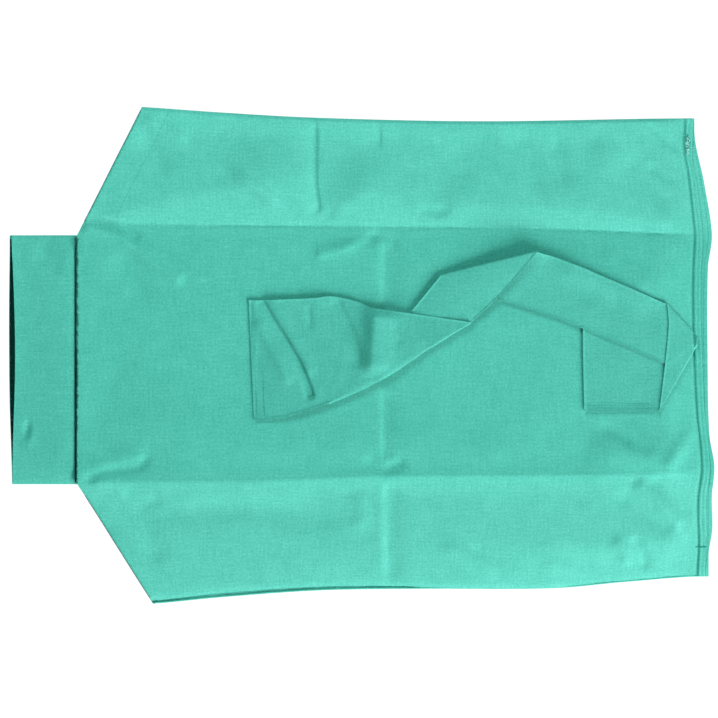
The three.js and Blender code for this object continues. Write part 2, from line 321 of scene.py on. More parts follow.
# Side seams as (x, y), and the hem's lines as (y, x), in millimetres from the middle of the gown.
LEFT_SIDE = in_mm([(-398, 352), (-307.5, 347.6), (-200, 340), (-65, 332.5), (165, 327.5), (465, 331.5)])
RIGHT_SIDE = in_mm([
    (-397, -352), (-292, -347.6), (-195, -338.5), (-58, -329), (82, -326.8), (268, -326), (371, -317),
    (485, -309.5)
])
FRONT_HEM = in_mm([
    (-312, 480), (-266, 482), (-203, 481), (-163, 486), (-135, 485), (-75, 479), (35, 474.5), (111, 474),
    (164, 476.5), (187, 474.5), (255, 467), (282, 462), (332, 463)
])
BACK_HEM = in_mm([
    (-310, 485.5), (-263, 490.5), (-200, 490), (-155, 493.4), (-110, 486.5), (0, 484), (122, 484.5),
    (169, 490), (250, 479), (332, 465.5)
])
HEM_BAND = 10.5 * MM
HEM_STITCHES = 5.0 * MM
LEFT_ARMHOLE = (Vector((-399.5 * MM, 165 * MM)), Vector((-307.5 * MM, 347.6 * MM)))
RIGHT_ARMHOLE = (Vector((-377 * MM, -212 * MM)), Vector((-292 * MM, -347.6 * MM)))
UNDERLAYER = in_mm([(-293, -5.0), (-150, -6.0), (60, -4.0), (110, -0.8), (480, -0.8)])
ARMHOLE_STITCHES = 38 * MM


def side_y(side, x, front):
    if side == "left":
        return through(LEFT_SIDE, x) - (0.8 * MM if front else 0)
    return through(RIGHT_SIDE, x) - (through(UNDERLAYER, x) if front else 0)


def hem_x(y, front):
    return through(FRONT_HEM if front else BACK_HEM, y)


# ---------------------------------------------------------------- how the front lies

class Wrinkle:
    """A raised or sunken line in the cloth. All is in millimetres, and points are (x, y)."""

    def __init__(self, points, height, width, fade=20, sharp=False, lean=0.0):
        self.points = [Vector((x * MM, y * MM)) for x, y in points]
        self.height = height * MM * RELIEF
        self.width = width * MM
        self.fade = max(fade * MM, 1e-6)
        self.sharp = sharp
        self.lean = lean
        reach = self.width * (5 if sharp else 2.4) * (1 + abs(lean))
        xs = [p.x for p in self.points]
        ys = [p.y for p in self.points]
        self.box = (min(xs) - reach, max(xs) + reach, min(ys) - reach, max(ys) + reach)
        self.lengths = [(b - a).length for a, b in zip(self.points, self.points[1:])]
        self.total = sum(self.lengths)

    def at(self, x, y):
        x0, x1, y0, y1 = self.box
        if not (x0 <= x <= x1 and y0 <= y <= y1):
            return 0.0
        here = Vector((x, y))
        best, where, side, done = 1e9, 0.0, 1.0, 0.0
        for a, b, length in zip(self.points, self.points[1:], self.lengths):
            along = (b - a) / length
            t = min(length, max(0.0, (here - a).dot(along)))
            away = here - (a + along * t)
            if away.length < best:
                best, where = away.length, done + t
                side = 1.0 if along.cross(here - a) > 0 else -1.0
            done += length
        ends = smooth(0, self.fade, where) * smooth(0, self.fade, self.total - where)
        width = self.width * (1 + self.lean * side)
        if self.sharp:
            shape = math.exp(-best / width)
        else:
            shape = math.exp(-((best / width) ** 2))
        return self.height * shape * ends


# The two pressed folds as (x, y) in millimetres, without their first points at the neck.
CREASE_ONE = [(-200, 181), (110, 178.5), (300, 175), (478, 168)]
CREASE_TWO = [(-160, -176), (-80, -173), (20, -168.5), (390, -166.5), (484, -161)]
CREASE_ONE_LINE = in_mm([(-398, 183)] + CREASE_ONE)
CREASE_TWO_LINE = in_mm([(-398, -176.5)] + CREASE_TWO)
CREASE_ONE_RIDGE = [(-372, 183)] + CREASE_ONE
CREASE_TWO_RIDGE = [(-380, -176.5)] + CREASE_TWO
# Heights from one pressed fold to the other, and from each pressed fold (0) out to the side seam (1).
MIDDLE_RISE = [(0, 6.2 * MM), (0.08, 7.6 * MM), (0.5, 9.2 * MM), (0.92, 10.6 * MM), (1, 11.2 * MM)]
LEFT_CREST = in_mm([
    (-390, 6), (-352, 9), (-296, 26), (-226, 44), (-184, 48), (-135, 58), (-92, 44), (-56, 17), (-24, 29),
    (6, 45), (34, 39), (60, 25), (104, 13), (134, 27), (200, 29), (280, 29), (340, 24), (410, 17), (470, 14)
])
CREASE_ONE_REST = 5.6 * MM
CREST_SLOPE = 0.215
CREST_CRISPNESS = 8.0
LEFT_EDGE_REST = 3.8 * MM
LEFT_EDGE_ROLL = 0.9 * MM
RIGHT_WING_BY_NECK = [
    (0, 11.2 * MM), (0.07, 9.9 * MM), (0.16, 8.5 * MM), (0.26, 8.1 * MM), (0.5, 8.2 * MM), (0.75, 7.2 * MM),
    (0.9, 5.6 * MM), (0.97, 4.0 * MM), (1, 2.0 * MM)
]
RIGHT_WING_BY_HEM = [
    (0, 11.2 * MM), (0.1, 10.4 * MM), (0.3, 10.6 * MM), (0.5, 11.6 * MM), (0.6, 12.0 * MM), (0.68, 11.2 * MM),
    (0.85, 7.0 * MM), (0.96, 4.0 * MM), (1, 2.0 * MM)
]
HEM_REST = 2.4 * MM

FRONT_WRINKLES = [
    # the two pressed folds: the left one is a valley, the right one a ridge
    Wrinkle(CREASE_ONE_RIDGE, -0.35, 3.5, 15, sharp=True),
    Wrinkle(CREASE_TWO_RIDGE, 0.2, 3.5, 15, sharp=True),
    Wrinkle(CREASE_TWO_RIDGE, 0.14, 12, 20),
    # the pressed fold across the gown: a leaning valley, faint on the left wing
    Wrinkle([(34, 164), (34, 50)], -0.7, 15, 18, lean=0.5),
    Wrinkle([(32, -46), (33, -150)], -0.42, 10, 16, lean=0.4),
    Wrinkle([(-70, 138), (-24, 150), (16, 166)], 0.6, 8, 14),
    Wrinkle([(24, 338), (26, 285)], -0.35, 5, 16, lean=-0.5),
    Wrinkle([(37, -172), (38, -260), (40, -335)], -0.5, 12, 16, lean=0.35),
    Wrinkle([(28, -176), (30, -300)], 0.15, 12, 20),
    # where the two folds cross: small dents
    Wrinkle([(-14, 150), (8, 162), (22, 168), (36, 163), (58, 154)], -0.55, 8, 16),
    Wrinkle([(2, -138), (20, -154), (33, -160), (50, -152), (66, -140)], -0.5, 9, 18),
    # upper flap
    Wrinkle([(-64, 342), (-64, 240), (-58, 195)], -0.55, 6.5, 12, lean=-0.6),
    Wrinkle([(-76, 206), (-54, 194), (-34, 204)], -0.4, 8, 12),
    Wrinkle([(76, 208), (104, 198), (128, 206)], -0.4, 8, 14),
    Wrinkle([(-204, 262), (-170, 232), (-128, 204)], -0.45, 7, 24),
    Wrinkle([(-166, 262), (-130, 238), (-84, 206)], -0.45, 6, 24),
    Wrinkle([(-186, 262), (-150, 236), (-106, 206)], 0.45, 7, 24),
    Wrinkle([(-308, 338), (-286, 316), (-236, 300)], 0.6, 12, 20),
    Wrinkle([(-312, 322), (-296, 292), (-262, 250)], -0.7, 16, 30),
    Wrinkle([(-300, 250), (-220, 246), (-150, 262)], -0.3, 26, 60),
    Wrinkle([(-40, 300), (40, 262), (70, 220)], -0.3, 24, 40),
    Wrinkle([(120, 296), (140, 256), (150, 226)], -0.35, 16, 34),
    Wrinkle([(206, 330), (234, 280), (262, 214)], -0.55, 17, 40),
    Wrinkle([(262, 322), (276, 270), (286, 220)], -0.5, 14, 40),
    Wrinkle([(180, 320), (206, 262), (232, 214)], 0.4, 14, 40),
    Wrinkle([(330, 306), (352, 240)], 0.5, 16, 30),
    Wrinkle([(362, 290), (402, 236), (440, 196)], -0.6, 15, 34),
    Wrinkle([(396, 330), (424, 300), (444, 282)], -0.75, 6, 14, lean=0.4),
    Wrinkle([(404, 338), (434, 306), (450, 288)], 0.4, 6, 14),
    Wrinkle([(396, 268), (446, 236)], -0.4, 8, 14),
    # neck corners
    Wrinkle([(-394, 182), (-362, 173), (-336, 164), (-296, 132), (-246, 100)], 1.0, 9, 14),
    Wrinkle([(-385, 196), (-360, 184), (-330, 178), (-308, 160)], -0.65, 7, 12),
    Wrinkle([(-360, 140), (-322, 112), (-292, 62)], -0.5, 19, 40),
    Wrinkle([(-310, 156), (-262, 128), (-210, 96)], 0.45, 9, 26),
    Wrinkle([(-391, -178), (-362, -163), (-312, -156), (-292, -138)], -0.5, 7, 14),
    Wrinkle([(-380, -160), (-334, -142), (-296, -130)], 0.3, 12, 20),
    Wrinkle([(-336, -190), (-300, -206), (-276, -200)], -0.4, 9, 14),
    Wrinkle([(-306, -120), (-262, -152)], -0.2, 13, 20),
    # around the belt
    Wrinkle([(300, -132), (400, -140), (458, -134)], 0.9, 25, 50),
    Wrinkle([(418, -166), (444, -132), (474, -92)], 0.75, 11, 22),
    Wrinkle([(326, -92), (372, -118), (410, -140)], -0.5, 9, 22),
    Wrinkle([(-384, 92), (-338, -10), (-380, -122)], -0.4, 26, 50),
    Wrinkle([(250, 132), (330, 106), (425, 66)], 1.0, 24, 50, lean=0.35),
    Wrinkle([(330, 152), (372, 122), (402, 84)], 0.35, 11, 26),
    Wrinkle([(-330, -60), (-160, -130), (40, -120), (230, -140)], 0.4, 36, 60),
    # lower flap, towards the hem
    Wrinkle([(380, -172), (414, -204), (450, -242)], 0.8, 9, 16),
    Wrinkle([(350, -186), (396, -222), (440, -254)], -0.5, 12, 24),
    Wrinkle([(404, -164), (440, -200), (464, -230)], -0.4, 9, 18),
    Wrinkle([(350, -252), (366, -274), (372, -298)], 0.45, 8, 14),
    Wrinkle([(374, -250), (392, -276), (398, -304)], -0.5, 7, 14),
    Wrinkle([(430, -232), (462, -256)], 0.4, 9, 14),
    Wrinkle([(104, -262), (160, -284), (204, -318)], 0.4, 11, 26),
    Wrinkle([(150, -262), (184, -290), (204, -322)], -0.35, 8, 20),
    Wrinkle([(248, -286), (290, -300), (318, -322)], 0.3, 9, 20),
    Wrinkle([(-290, -206), (-200, -196), (-60, -194)], 0.3, 14, 50),
    Wrinkle([(-310, -222), (-270, -218), (-180, -212), (-80, -222), (-10, -238)], -0.5, 20, 50),
    Wrinkle([(-318, -196), (-300, -240), (-280, -296)], -0.4, 16, 26),
    Wrinkle([(-8, -186), (4, -224), (-14, -248)], 0.4, 12, 18),
]


def puffs(x, y, scale, amount, seed):
    return amount * noise.noise(Vector((x / scale, y / scale, seed)))


def front_height(x, y):
    """The height of the front's outer face."""
    y_level = MIDDLE_Y + (y - MIDDLE_Y) * smooth(0, 14 * MM, abs(y - MIDDLE_Y))
    side = "left" if y > MIDDLE_Y else "right"
    edge = side_y(side, x, True)
    crease_one = through(CREASE_ONE_LINE, x)
    crease_two = through(CREASE_TWO_LINE, x)
    if y > crease_one:
        crest = through(LEFT_CREST, x)
        away = y - crease_one
        bend = math.log(1 + math.exp(CREST_CRISPNESS * (1 - away / crest))) / CREST_CRISPNESS
        climb = crest * max(0.0, 1 - bend) * CREST_SLOPE
        fall = smooth(0.95 * crest, edge - crease_one - 20 * MM, away)
        rise = mix(CREASE_ONE_REST + climb, LEFT_EDGE_REST, fall)
        height = rise + LEFT_EDGE_ROLL * smooth(34 * MM, 8 * MM, edge - y)
        height = mix(height, SIDE_TOP, smooth(2.6 * MM, -0.5 * MM, edge - y))
    elif y < crease_two:
        out = min(1.0, (crease_two - y) / (crease_two - edge))
        towards_hem = smooth(90 * MM, 330 * MM, x)
        height = mix(through(RIGHT_WING_BY_NECK, out), through(RIGHT_WING_BY_HEM, out), towards_hem)
    else:
        height = through(MIDDLE_RISE, (crease_one - y) / (crease_one - crease_two))
    height += puffs(x, y_level, 90 * MM, 1.5 * MM, 1.3)
    height += puffs(x, y_level, 40 * MM, 0.3 * MM, 4.1)
    height += puffs(x, y_level, 13 * MM, 0.07 * MM, 7.7)
    near_edge = smooth(0, 26 * MM, abs(edge - y))
    wrinkles = sum(wrinkle.at(x, y_level) for wrinkle in FRONT_WRINKLES)
    height += wrinkles * mix(0.25, 1.0, near_edge)
    hem = hem_x(y, True)
    band = hem - x
    height = mix(height, HEM_REST, 0.9 * smooth(62 * MM, 0, band))
    height += 1.3 * MM * smooth(HEM_BAND + 0.3 * MM, HEM_BAND - 1.4 * MM, band)
    height -= 1.2 * MM * math.exp(-(((band - HEM_BAND - 1.2 * MM) / (1.7 * MM)) ** 2))
    height -= 0.55 * MM * math.exp(-(((band - HEM_STITCHES) / (1.0 * MM)) ** 2))
    height -= 0.4 * MM * smooth(1.4 * MM, 0, band)
    height -= armhole_dip(x, y)
    floor_of_front = BACK_TOP + CLOTH + 0.35 * MM
    return max(height, floor_of_front)


def armhole_distance(x, y, side):
    """How far a point is inside the armhole's edge."""
    line = LEFT_ARMHOLE if side == "left" else RIGHT_ARMHOLE
    along = (line[-1] - line[0]).normalized()
    inside = along.cross(Vector((x, y)) - line[0])
    return -inside if side == "left" else inside


def armhole_dip(x, y):
    if x > -180 * MM:
        return 0.0
    side = "left" if y > MIDDLE_Y else "right"
    if abs(y - MIDDLE_Y) < 175 * MM:
        return 0.0
    inside = armhole_distance(x, y, side)
    groove = 0.30 * MM * math.exp(-(((inside - ARMHOLE_STITCHES) / (1.3 * MM)) ** 2))
    edge = 0.5 * MM * smooth(2.5 * MM, 0, inside)
    return groove + edge


def back_height(x, y):
    """The height of the back's inner face, which lies on the floor."""
    height = BACK_TOP
    height += 0.45 * MM * smooth(HEM_BAND + 3 * MM, HEM_BAND, hem_x(y, False) - x)
    return height


# ---------------------------------------------------------------- front and back cloth

def cloth_half(name, side, front):
    """Half of the front or the back, from the middle line out to one side seam, cut to the gown's outline."""
    sign = 1 if side == "left" else -1
    fold = LEFT_FOLD if side == "left" else RIGHT_FOLD
    step = FRONT_STEP if front else BACK_STEP
    height = front_height if front else back_height
    crease = 176 * MM if side == "left" else 169 * MM
    far = 349 * MM
    fine_y = [(crease, 11 * MM)] if front else [(abs(fold), 10 * MM)]
    rows = stations(sign * MIDDLE_Y, far, step, fine_y + [(far, 4 * MM)], 2.2 * MM)
    neck = NECK_X - (0 if front else 4 * MM)
    length = 882 * MM
    fine_x = [(26 * MM, 16 * MM), (-62 * MM, 10 * MM)] if front else []
    columns = stations(neck, neck + length, step, fine_x + [(neck + length, 17 * MM)], 1.3 * MM)
    vertices, uvs = [], []
    for column in columns:
        for row in rows:
            share = (row - abs(fold)) / (far - abs(fold))
            y = sign * row
            x = column
            reach = hem_x(y, front) - neck
            x = neck + (column - neck) * reach / length
            if share > 0:
                edge = side_y(side, x, front)
                y = mix(fold, edge, share)
            ragged = 0.9 * MM * noise.noise(Vector((y / (2.6 * MM), 0.3, 6.0)))
            x += ragged * smooth(9 * MM, 0, column - neck)
            vertices.append(Vector((x, y, height(x, y))))
            uvs.append((column, sign * row))
    across = len(rows)
    faces = []
    for i in range(len(columns) - 1):
        for j in range(across - 1):
            a, b = i * across + j, (i + 1) * across + j
            face = (a, b, b + 1, a + 1)
            faces.append(face if side == "left" else face[::-1])
    piece = mesh_object(name, vertices, faces, GOWN_CLOTH, uvs)
    cut_armhole(piece, side, front)
    thicken(piece, CLOTH)
    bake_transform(piece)
    return piece


def cut_armhole(piece, side, front):
    """Cuts the sheet along the armhole's edge. The front stops a little short of the back."""
    line = LEFT_ARMHOLE if side == "left" else RIGHT_ARMHOLE
    grown = bmesh.new()
    grown.from_mesh(piece.data)
    inset = 0.8 * MM if front else 0.0
    for a, b in zip(line, line[1:]):
        along = (b - a).normalized()
        outward = Vector((-along.y, along.x)) if side == "left" else Vector((along.y, -along.x))
        on = a - outward * inset
        bmesh.ops.bisect_plane(
            grown,
            geom=grown.verts[:] + grown.edges[:] + grown.faces[:],
            plane_co=(on.x, on.y, 0),
            plane_no=(outward.x, outward.y, 0),
            clear_outer=True,
        )
    grown.to_mesh(piece.data)
    grown.free()


for side in ("left", "right"):
    front = cloth_half(f"front_cloth_{side}", side, True)
    back = cloth_half(f"back_cloth_{side}", side, False)
    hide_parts("front_panel_center", "front_hem_center")
    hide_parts(f"front_panel_{side}", f"front_hem_{side}", f"armhole_hem_front_{side}")
    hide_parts("back_panel_center", "back_hem_center")
    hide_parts(f"back_panel_{side}", f"back_hem_{side}", f"armhole_hem_back_{side}")


# ---------------------------------------------------------------- threads

def tube(points, radius, sides=6):
    """Vertices and faces of a closed round thread along the points."""
    vertices, faces = [], []
    count = len(points)
    for i, p in enumerate(points):
        ahead = points[min(i + 1, count - 1)] - points[max(i - 1, 0)]
        ahead = ahead.normalized() if ahead.length > 1e-9 else Vector((1, 0, 0))
        across = ahead.cross(Vector((0, 0, 1)))
        across = across.normalized() if across.length > 1e-6 else Vector((0, 1, 0))
        upright = across.cross(ahead).normalized()
        narrow = 0.35 if i in (0, count - 1) else 1.0
        for k in range(sides):
            angle = 2 * math.pi * k / sides
            vertices.append(p + (across * math.cos(angle) + upright * math.sin(angle)) * radius * narrow)
    for i in range(count - 1):
        for k in range(sides):
            a, b = i * sides + k, i * sides + (k + 1) % sides
            faces.append((a, b, b + sides, a + sides))
    faces.append(tuple(range(sides))[::-1])
    faces.append(tuple((count - 1) * sides + k for k in range(sides)))
    return vertices, faces


def threads_object(name, runs, radius, material, sides=6):
    vertices, faces = [], []
    for run in runs:
        first = len(vertices)
        run_vertices, run_faces = tube(run, radius, sides)
        vertices += run_vertices
        faces += [tuple(first + k for k in face) for face in run_faces]
    piece = mesh_object(name, vertices, faces, material)
    bpy.ops.object.select_all(action="DESELECT")
    grown = bmesh.new()
    grown.from_mesh(piece.data)
    bmesh.ops.recalc_face_normals(grown, faces=grown.faces)
    grown.to_mesh(piece.data)
    grown.free()
    return piece


def walk(path, step):
    """Points a step apart along a list of points."""
    places, over = [path[0].copy()], 0.0
    for a, b in zip(path, path[1:]):
        length = (b - a).length
        done = step - over
        while done <= length:
            places.append(a.lerp(b, done / length))
            done += step
        over = length - (done - step)
    return places


def running_stitches(path, height, stitch=STITCH, gap=0.9 * MM, lift=0.12 * MM):
    """Separate stitches along a path: each rises out of the cloth, lies on it and goes back in."""
    runs = []
    places = walk(path, stitch + gap)
    for a, b in zip(places, places[1:]):
        b = a.lerp(b, stitch / (stitch + gap))
        run = []
        for t, rise in ((0, -0.5), (0.12, 0.7), (0.5, 1.0), (0.88, 0.7), (1, -0.5)):
            p = a.lerp(b, t)
            run.append(Vector((p.x, p.y, height(p.x, p.y) + lift * rise)))
        runs.append(run)
    return runs


def split_at_folds(path):
    """The left and the right half of a path that runs across the gown."""
    right = [p for p in path if p.y <= MIDDLE_Y]
    left = [p for p in path if p.y >= MIDDLE_Y]
    return {"left": left, "right": right}


def blend_across_fold(piece):
    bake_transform(piece)


def hem_path(front, inset):
    low = -308 * MM if front else -306 * MM
    high = 328 * MM
    steps = 200
    path = []
    for k in range(steps + 1):
        y = mix(low, high, k / steps)
        path.append(Vector((hem_x(y, front) - inset, y)))
    return path


for side in ("left", "right"):
    for row, inset in (("inner", HEM_BAND - 1.0 * MM), ("outer", HEM_STITCHES)):
        halves = split_at_folds(hem_path(True, inset))
        stitches = running_stitches(halves[side], front_height)
        piece = threads_object(f"front_hem_stitches_{row}_{side}", stitches, THREAD, STITCH_THREAD)
        blend_across_fold(piece)
    halves = split_at_folds(hem_path(False, HEM_STITCHES))
    stitches = running_stitches(halves[side], back_height)
    piece = threads_object(f"back_hem_stitches_{side}", stitches, THREAD, STITCH_THREAD)
    blend_across_fold(piece)


def armhole_path(side, inset):
    """The line of stitches that runs beside the armhole's edge, from the pressed fold to the side seam."""
    line = LEFT_ARMHOLE if side == "left" else RIGHT_ARMHOLE
    a, b = line[0], line[-1]
    along = (b - a).normalized()
    inward = Vector((along.y, -along.x)) if side == "left" else Vector((-along.y, along.x))
    fold = LEFT_FOLD if side == "left" else RIGHT_FOLD
    start = a + inward * inset
    start = start + along * ((fold - start.y) / along.y + 16 * MM)
    path = [start]
    while abs(path[-1].y) < abs(side_y(side, path[-1].x, True)) - 4 * MM:
        path.append(path[-1] + along * 2 * MM)
    return path


for side in ("left", "right"):
    runs = []
    for inset in (ARMHOLE_STITCHES, 3.2 * MM):
        runs += running_stitches(armhole_path(side, inset), front_height)
    piece = threads_object(f"armhole_stitches_{side}", runs, THREAD, STITCH_THREAD)
    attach(piece, f"wing_{side}")
    # A near-black thread along the armhole's edge: painted shade for the gap between the front and back
    # layers.
    edge_run = []
    for p in armhole_path(side, 1.2 * MM):
        edge_run.append(Vector((p.x, p.y, front_height(p.x, p.y) + 0.05 * MM)))
    piece = threads_object(f"armhole_edge_thread_{side}", [edge_run], 0.5 * MM, SEAM_SHADE_THREAD)
    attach(piece, f"wing_{side}")


# ---------------------------------------------------------------- side seams and bartacks

def side_seam(side):
    """The rolled seam that joins front and back down one side."""
    sign = 1 if side == "left" else -1
    start = LEFT_ARMHOLE[-1].x if side == "left" else RIGHT_ARMHOLE[-1].x
    end = (462 if side == "left" else 478) * MM
    columns = stations(start + 0.6 * MM, end, 5 * MM, [])
    section = [(-2.4, 1.9), (-1.2, 2.35), (-0.4, 1.95), (-0.15, 1.2), (-0.45, 0.6), (-2.4, 0.65)]
    vertices, uvs = [], []
    for x in columns:
        edge = abs(side_y(side, x, False))
        swell = 1 + 0.12 * noise.noise(Vector((x / (9 * MM), 0.5, 2.0)))
        for out, z in section:
            vertices.append(Vector((x, sign * (edge + out * MM * swell), z * MM * swell)))
            uvs.append((x, out * MM))
    count = len(section)
    faces = []
    for i in range(len(columns) - 1):
        for k in range(count):
            a, b = i * count + k, i * count + (k + 1) % count
            faces.append((a, b, b + count, a + count))
    faces.append(tuple(range(count)))
    faces.append(tuple((len(columns) - 1) * count + k for k in range(count))[::-1])
    piece = mesh_object(f"side_seam_roll_{side}", vertices, faces, GOWN_CLOTH, uvs)
    grown = bmesh.new()
    grown.from_mesh(piece.data)
    bmesh.ops.recalc_face_normals(grown, faces=grown.faces)
    grown.to_mesh(piece.data)
    grown.free()
    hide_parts(f"side_seam_{side}")
    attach(piece, f"wing_{side}")


for side in ("left", "right"):
    side_seam(side)


def bartack(side, y_middle, length, width):
    """Dense satin stitches across the hem."""
    runs = []
    count = int(length / (0.55 * MM))
    start = hem_x(y_middle, True) - HEM_BAND - 4 * MM
    for k in range(count):
        x = start + length * k / (count - 1)
        wobble = 0.25 * MM * noise.noise(Vector((k * 0.7, y_middle * 40, 3.0)))
        run = []
        for t in (0, 0.2, 0.5, 0.8, 1):
            y = y_middle + width * (t - 0.5) + wobble
            rise = 0.75 * MM * math.sin(math.pi * t) - 0.15 * MM
            run.append(Vector((x, y, front_height(x, y) + rise)))
        runs.append(run)
    piece = threads_object(f"bartack_thread_{side}", runs, 0.3 * MM, STITCH_THREAD, sides=5)
    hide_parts(f"bartack_{side}")
    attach(piece, f"wing_{side}")


def hem_knot():
    """The left bartack: a tight, gathered tangle of thread, longer along the hem than across it."""
    runs = []
    middle_y = 294 * MM
    for loop in range(9):
        run = []
        for k in range(15):
            t = k / 14
            y = middle_y + mix(-15, 14, t) * MM + 1.2 * MM * noise.noise(Vector((loop * 3.1, t * 5, 0.5)))
            spread = 1 - (2 * t - 1) ** 2
            sway = 4.4 * MM * spread * noise.noise(Vector((loop * 1.7, t * 3.5, 8.0)))
            x = hem_x(y, True) - 6.2 * MM + sway + mix(-2.6, 2.6, loop / 8) * MM * spread
            rise = 0.5 * MM + 1.1 * MM * spread * abs(noise.noise(Vector((loop * 2.3, t * 6, 4.0))))
            run.append(Vector((x, y, front_height(x, y) + rise)))
        runs.append(run)
    for k in range(10):
        y = middle_y + mix(-6.5, 6.5, k / 9) * MM
        run = []
        for t in (0, 0.25, 0.5, 0.75, 1):
            x = hem_x(y, True) - mix(10.4, 2.2, t) * MM
            rise = 1.5 * MM * math.sin(math.pi * t) - 0.1 * MM
            run.append(Vector((x, y + 1.1 * MM * (t - 0.5) * (-1) ** k, front_height(x, y) + rise)))
        runs.append(run)
    piece = threads_object("bartack_thread_left", runs, 0.55 * MM, KNOT_THREAD, sides=5)
    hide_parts("bartack_left")
    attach(piece, "wing_left")


hem_knot()
bartack("right", -268 * MM, 14 * MM, 2.2 * MM)


# ---------------------------------------------------------------- neckband and neck seam

NECKBAND_RIGHT, NECKBAND_LEFT = -179.5 * MM, 167 * MM
NECKBAND_FRONT_EDGE = in_mm([
    (-180, -488.3), (-110, -487), (-30, -484.6), (40, -484.8), (110, -487), (168, -489.4)
])
NECKBAND_BACK_EDGE = in_mm([(-180, -489.2), (-130, -490.4), (-60, -492.6), (60, -493.3), (168, -492.4)])
NECKBAND_DENTS = [
    Wrinkle([(-466, -92), (-468, -118)], -0.9, 4, 8),
    Wrinkle([(-474, -112), (-456, -122)], 0.5, 7, 8),
    Wrinkle([(-455, 150), (-415, 120)], -0.5, 12, 15),
]


def neckband():
    """A flattened tube of cloth. Its inner end turns in under the gown as a seam allowance."""
    inner = NECK_HINGE.x + 11 * MM
    mouth_gap = 3.4 * MM
    rows = 46
    steps = stations(0, 1, 0.035, [(0, 0.06), (0.9, 0.05)], 0.012)
    vertices, uvs = [], []
    turn = 5
    ring = []
    for k in range(rows + 1):
        ring.append(("front", mix(NECKBAND_RIGHT, NECKBAND_LEFT, k / rows), 0.0))
    for k in range(1, turn):
        ring.append(("left", NECKBAND_LEFT, math.pi * k / turn))
    for k in range(rows + 1):
        ring.append(("back", mix(NECKBAND_LEFT, NECKBAND_RIGHT, k / rows), 0.0))
    for k in range(1, turn):
        ring.append(("right", NECKBAND_RIGHT, math.pi * k / turn))
    for u in steps:
        for index, (part, y, angle) in enumerate(ring):
            front_x = mix(through(NECKBAND_FRONT_EDGE, y), inner, u)
            back_x = mix(through(NECKBAND_BACK_EDGE, y), inner, u)
            taper = smooth(0, 26 * MM, min(y - NECKBAND_RIGHT, NECKBAND_LEFT - y))
            open_up = mix(mouth_gap, FRONT_TOP - 0.9 * MM, smooth(0.0, 0.85, u))
            top = mix(2.4 * MM, open_up, mix(0.35, 1.0, taper))
            x = front_x
            x_back = back_x
            top += puffs(front_x, y, 45 * MM, 0.5 * MM, 11.0) * taper
            top += sum(dent.at(front_x, y) for dent in NECKBAND_DENTS)
            hidden = smooth(NECK_HINGE.x + 0.5 * MM, NECK_HINGE.x + 5 * MM, front_x)
            top -= 1.7 * MM * hidden
            low = 0.15 * MM + 1.2 * MM * smooth(NECK_HINGE.x + 0.5 * MM, NECK_HINGE.x + 5 * MM, back_x)
            if part == "front":
                place = Vector((x, y, top))
            elif part == "back":
                place = Vector((x_back, y, low))
            else:
                sign = 1 if part == "left" else -1
                t = angle / math.pi if part == "left" else 1 - angle / math.pi
                z = mix(top, low, 0.5 - 0.5 * math.cos(math.pi * t))
                place = Vector((mix(x, x_back, t), y + sign * 0.9 * MM * math.sin(math.pi * t), z))
            vertices.append(place)
            uvs.append((front_x, index * 7.5 * MM))
    count = len(ring)
    faces = []
    for i in range(len(steps) - 1):
        for k in range(count):
            a, b = i * count + k, i * count + (k + 1) % count
            faces.append((a, a + count, b + count, b))
    piece = mesh_object("neckband_cloth", vertices, faces, NECKBAND_CLOTH, uvs)
    thicken(piece, 0.7 * MM)
    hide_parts("neckband_front", "neckband_back", "neckband_end_left", "neckband_end_right")
    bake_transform(piece)
    return piece


neckband()


def neck_seam():
    """Overlock thread in the groove below the neckband, front and back: a zigzag over a dark core, both near
    black, partly thread and partly painted shade in the groove.
    """
    middle = (NECK_HINGE.x + NECK_X) / 2
    for layer, z in (("front", FRONT_TOP - 0.7 * MM), ("back", BACK_TOP - 0.15 * MM)):
        runs = []
        for offset, radius_share in ((-0.7 * MM, 1.0), (0.5 * MM, 1.0)):
            core = []
            for k in range(120):
                y = mix(NECKBAND_RIGHT + 1 * MM, NECKBAND_LEFT - 1 * MM, k / 119)
                sway = 0.5 * MM * noise.noise(Vector((y / (7 * MM), offset * 900, 1.0)))
                core.append(Vector((middle + offset + sway, y, z - 0.35 * MM)))
            runs.append(core)
        loops = int((NECKBAND_LEFT - NECKBAND_RIGHT) / (2.6 * MM))
        zigzag = []
        for k in range(2 * loops + 1):
            y = mix(NECKBAND_RIGHT + 1 * MM, NECKBAND_LEFT - 1 * MM, k / (2 * loops))
            reach = 3.3 * MM + 2.6 * MM * noise.noise(Vector((k * 0.37, 5.0, 0.5)))
            x = middle + (reach if k % 2 else -1.7 * MM)
            on_cloth = front_height(NECK_X + 1 * MM, y) + 0.7 * MM if layer == "front" else z + 0.45 * MM
            zigzag.append(Vector((x, y, on_cloth if k % 2 else z + 0.5 * MM)))
        runs.append(zigzag)
        piece = threads_object(f"neck_seam_thread_{layer}", runs, 0.5 * MM, SEAM_SHADE_THREAD)
        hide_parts(f"neck_seam_{layer}")
        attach(piece, "middle")


neck_seam()


def neckband_edge_thread():
    """Overlock thread along the inside of the neckband's open edge, seen in its mouth; its near-black colour
    also paints the shade inside the mouth.
    """
    loops = 300
    runs = [[], []]
    for k in range(2 * loops + 1):
        y = mix(NECKBAND_RIGHT + 4 * MM, NECKBAND_LEFT - 4 * MM, k / (2 * loops))
        edge = through(NECKBAND_BACK_EDGE, y)
        x = edge + (0.5 * MM if k % 2 else 9.0 * MM)
        z = BACK_TOP + (0.45 * MM if k % 2 else 0.75 * MM)
        runs[0].append(Vector((x, y, z)))
        runs[1].append(Vector((edge + 2.4 * MM, y, BACK_TOP + 0.5 * MM)))
    piece = threads_object("neckband_edge_thread", runs, 0.5 * MM, EDGE_SHADE_THREAD)
    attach(piece, "neckband")


neckband_edge_thread()


# ---------------------------------------------------------------- belt

